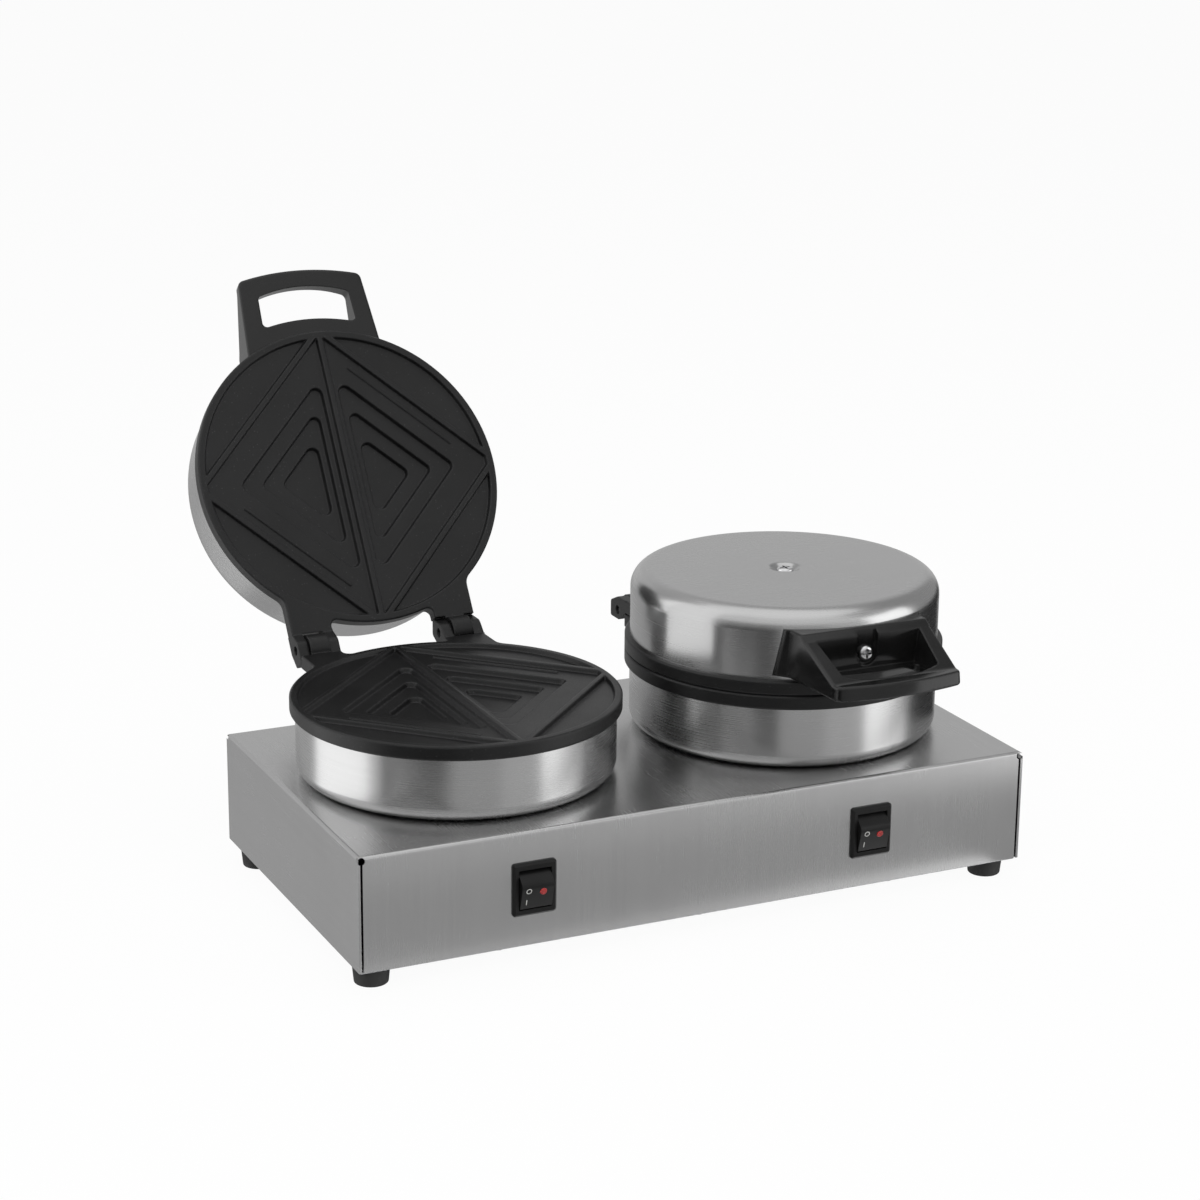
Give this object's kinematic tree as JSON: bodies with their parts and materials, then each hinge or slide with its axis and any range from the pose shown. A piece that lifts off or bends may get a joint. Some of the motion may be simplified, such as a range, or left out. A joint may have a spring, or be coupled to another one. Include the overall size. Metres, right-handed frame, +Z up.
{
  "type": "twin sandwich maker",
  "caption": "Countertop twin sandwich maker: a long folded steel base with round cookers, each with a hinged lid, black patterned plates and a moulded front handle.",
  "frame": {"origin": "on the surface the feet stand on, under the middle of the whole object's box with the left lid open and the right lid closed", "axes": "+X along the base to the right as seen from the front, +Y from the front to the back, +Z up"},
  "size_m": [0.438, 0.4242, 0.3413],
  "materials": {
    "stainless": "stainless sheet with a fine grain",
    "floor_sheet": "plain zinc-coated sheet",
    "bright_steel": "bright plated fasteners",
    "rubber": "matt black rubber",
    "coated_casting": "cast aluminium under a matt black speckled non-stick coating",
    "element_tube": "heat-tinted steel tube",
    "handle_plastic": "glossy black heat-resistant moulding",
    "switch_plastic": "satin black moulding",
    "red_lens": "clear red lens",
    "terminal_brass": "plain brass",
    "thermostat_plastic": "brown moulding",
    "gland_plastic": "matt black nylon",
    "block_plastic": "off-white nylon"
  },
  "bodies": {
    "base": {"base_cover": "stainless", "base_floor": "floor_sheet", "base_floor_screws": "bright_steel", "foot_front_left": "rubber", "foot_front_right": "rubber", "foot_nuts": "bright_steel", "foot_rear_left": "rubber", "foot_rear_right": "rubber", "foot_screws": "bright_steel", "gland_body": "gland_plastic", "gland_cap": "gland_plastic", "gland_locknut": "gland_plastic", "left_hinge_pins": "bright_steel", "left_lower_clamp": "floor_sheet", "left_lower_element": "element_tube", "left_lower_plate": "coated_casting", "left_pan": "stainless", "left_standoff_nuts": "bright_steel", "left_standoffs": "bright_steel", "left_switch_housing": "switch_plastic", "left_switch_spades": "terminal_brass", "left_thermostat": "thermostat_plastic", "right_hinge_pins": "bright_steel", "right_lower_clamp": "floor_sheet", "right_lower_element": "element_tube", "right_lower_plate": "coated_casting", "right_pan": "stainless", "right_standoff_nuts": "bright_steel", "right_standoffs": "bright_steel", "right_switch_housing": "switch_plastic", "right_switch_spades": "terminal_brass", "right_thermostat": "thermostat_plastic", "terminal_block": "block_plastic", "terminal_block_screws": "bright_steel"},
    "left_lid": {"left_lid_cover": "stainless", "left_upper_plate": "coated_casting", "left_upper_element": "element_tube", "left_upper_clamp": "floor_sheet", "left_clamp_screws": "bright_steel", "left_lid_post": "bright_steel", "left_cover_screw": "bright_steel", "left_handle": "handle_plastic", "left_handle_screw": "bright_steel", "left_handle_backing": "floor_sheet"},
    "left_rocker": {"left_switch_rocker": "switch_plastic", "left_neon_lens": "red_lens"},
    "right_lid": {"right_lid_cover": "stainless", "right_upper_plate": "coated_casting", "right_upper_element": "element_tube", "right_upper_clamp": "floor_sheet", "right_clamp_screws": "bright_steel", "right_lid_post": "bright_steel", "right_cover_screw": "bright_steel", "right_handle": "handle_plastic", "right_handle_screw": "bright_steel", "right_handle_backing": "floor_sheet"},
    "right_rocker": {"right_switch_rocker": "switch_plastic", "right_neon_lens": "red_lens"}
  },
  "joints": [
    {"name": "left_lid_hinge", "type": "hinge", "parent": "base", "child": "left_lid", "pos_m": [-0.1115, 0.0496, 0.1319], "axis": [-1, 0, 0], "range_deg": [-124, 0]},
    {"name": "right_lid_hinge", "type": "hinge", "parent": "base", "child": "right_lid", "pos_m": [0.1115, 0.0496, 0.1319], "axis": [-1, 0, 0], "range_deg": [0, 124]},
    {"name": "left_rocker_pivot", "type": "hinge", "parent": "base", "child": "left_rocker", "pos_m": [-0.1115, -0.1784, 0.0482], "axis": [1, 0, 0], "range_deg": [0, 20]},
    {"name": "right_rocker_pivot", "type": "hinge", "parent": "base", "child": "right_rocker", "pos_m": [0.1115, -0.1784, 0.0482], "axis": [1, 0, 0], "range_deg": [0, 20]}
  ]
}
